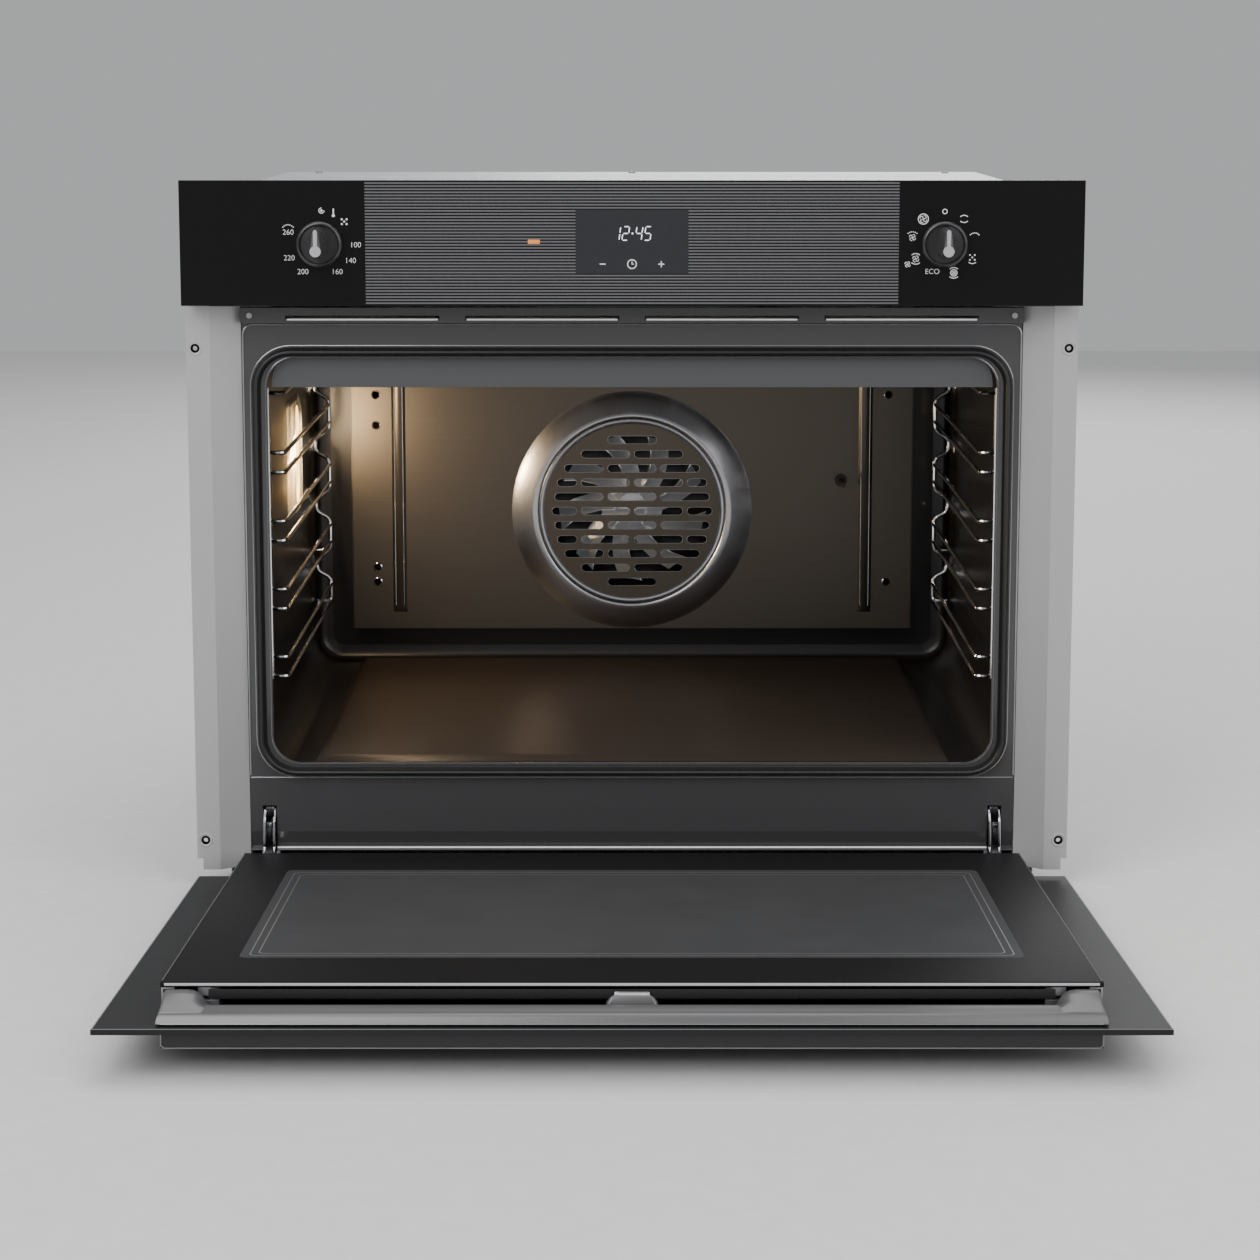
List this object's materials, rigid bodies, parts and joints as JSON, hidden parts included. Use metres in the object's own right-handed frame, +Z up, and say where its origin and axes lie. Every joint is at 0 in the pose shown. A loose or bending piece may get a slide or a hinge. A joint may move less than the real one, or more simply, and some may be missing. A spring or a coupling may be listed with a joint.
{
  "type": "built-in wall oven",
  "caption": "Built-in electric wall oven with a drop-down glass door, rotary knobs, display, side racks and a rear fan.",
  "frame": {"origin": "centre of the underside of the base plate", "axes": "+Z up, the front with the door and the knobs faces -Y, +X to the viewer's right"},
  "size_m": [0.756, 1.0475, 0.612],
  "materials": {
    "galvanised_steel": "zinc coated sheet",
    "grey_frame": "light grey satin",
    "enamel": "satin dark enamel",
    "seal_rubber": "woven seal",
    "cover_steel": "brushed, heat tinted",
    "heater_sheath": "matt",
    "chromed_wire": "polished",
    "bulb_glass": "clear, lit",
    "lamp_glass": "frosted",
    "mineral_wool": "fibre blanket",
    "motor_steel": "laminated core",
    "fan_metal": "pressed",
    "carrier_metal": "satin",
    "black_glass": "back painted",
    "circuit_board": "solder mask",
    "orange_lens": "lit",
    "switch_plastic": "moulded",
    "knob_plastic": "satin",
    "pointer_metal": "satin",
    "hinge_steel": "zinc plated",
    "gland_rubber": "moulded",
    "mirror_black_glass": "back painted",
    "clear_glass": "clear",
    "frit_glass": "black printed border",
    "door_metal": "satin grey",
    "handle_metal": "anthracite satin"
  },
  "bodies": {
    "oven": {"base_plate": "galvanised_steel", "side_panel_left": "galvanised_steel", "side_panel_right": "galvanised_steel", "rear_cover": "galvanised_steel", "top_cover": "galvanised_steel", "side_frame_left": "grey_frame", "side_frame_right": "grey_frame", "vent_plate": "enamel", "cavity_wrapper": "enamel", "cavity_back_wall": "enamel", "cavity_front_plate": "enamel", "lower_front_panel": "enamel", "door_seal": "seal_rubber", "cavity_lip": "enamel", "fan_cover_panel": "cover_steel", "ring_heater": "heater_sheath", "grill_element": "heater_sheath", "bottom_element": "heater_sheath", "side_rack_left": "chromed_wire", "side_rack_right": "chromed_wire", "rack_pins": "chromed_wire", "cover_screws": "chromed_wire", "temperature_probe": "chromed_wire", "lamp_housing": "galvanised_steel", "lamp_bulb": "bulb_glass", "lamp_lens": "lamp_glass", "insulation_wrap": "mineral_wool", "insulation_rear": "mineral_wool", "fan_motor": "motor_steel", "cooling_duct": "galvanised_steel", "cooling_fan_motor": "motor_steel", "steam_chimney": "galvanised_steel", "panel_carrier": "carrier_metal", "control_panel_glass": "black_glass", "display_window": "black_glass", "display_board": "circuit_board", "indicator_lens": "orange_lens", "thermostat_body": "galvanised_steel", "selector_body": "switch_plastic", "hinge_arm_left": "hinge_steel", "hinge_arm_right": "hinge_steel", "terminal_block": "switch_plastic", "cord_gland": "gland_rubber", "body_screws": "chromed_wire"},
    "door": {"door_outer_glass": "mirror_black_glass", "door_middle_glass": "clear_glass", "door_inner_glass": "frit_glass", "door_rails": "door_metal", "door_ledge": "door_metal", "lock_catch": "door_metal", "handle_bar": "handle_metal", "hinge_case_left": "hinge_steel", "hinge_case_right": "hinge_steel"},
    "tension": {"tension_rods": "hinge_steel"},
    "temperature_dial": {"temperature_knob": "knob_plastic", "temperature_pointer": "pointer_metal"},
    "function_dial": {"function_knob": "knob_plastic", "function_pointer": "pointer_metal"},
    "convection_rotor": {"convection_fan": "fan_metal"},
    "cooling_rotor": {"cooling_fan_drum": "fan_metal"}
  },
  "joints": [
    {"name": "door_hinge", "type": "hinge", "parent": "oven", "child": "door", "pos_m": [0, -0.284, 0.02], "axis": [-1, 0, 0], "range_deg": [0, 86.2]},
    {"name": "tension_slide", "type": "slide", "parent": "door", "child": "tension", "axis": [0, -0.9978, 0.0663], "range_m": [0, 0.03]},
    {"name": "temperature_turn", "type": "hinge", "parent": "oven", "child": "temperature_dial", "pos_m": [-0.261, -0.3, 0.559], "axis": [0, 1, 0], "range_deg": [0, 292]},
    {"name": "function_turn", "type": "hinge", "parent": "oven", "child": "function_dial", "pos_m": [0.261, -0.3, 0.559], "axis": [0, 1, 0], "continuous": true},
    {"name": "convection_spin", "type": "hinge", "parent": "oven", "child": "convection_rotor", "pos_m": [0, 0.17, 0.2627], "axis": [0, 1, 0], "continuous": true},
    {"name": "cooling_spin", "type": "hinge", "parent": "oven", "child": "cooling_rotor", "pos_m": [0, 0.03, 0.53], "axis": [1, 0, 0], "continuous": true}
  ],
  "couplings": [
    {"joint": "tension_slide", "follows": "door_hinge", "m_per_rad": 0.016}
  ]
}
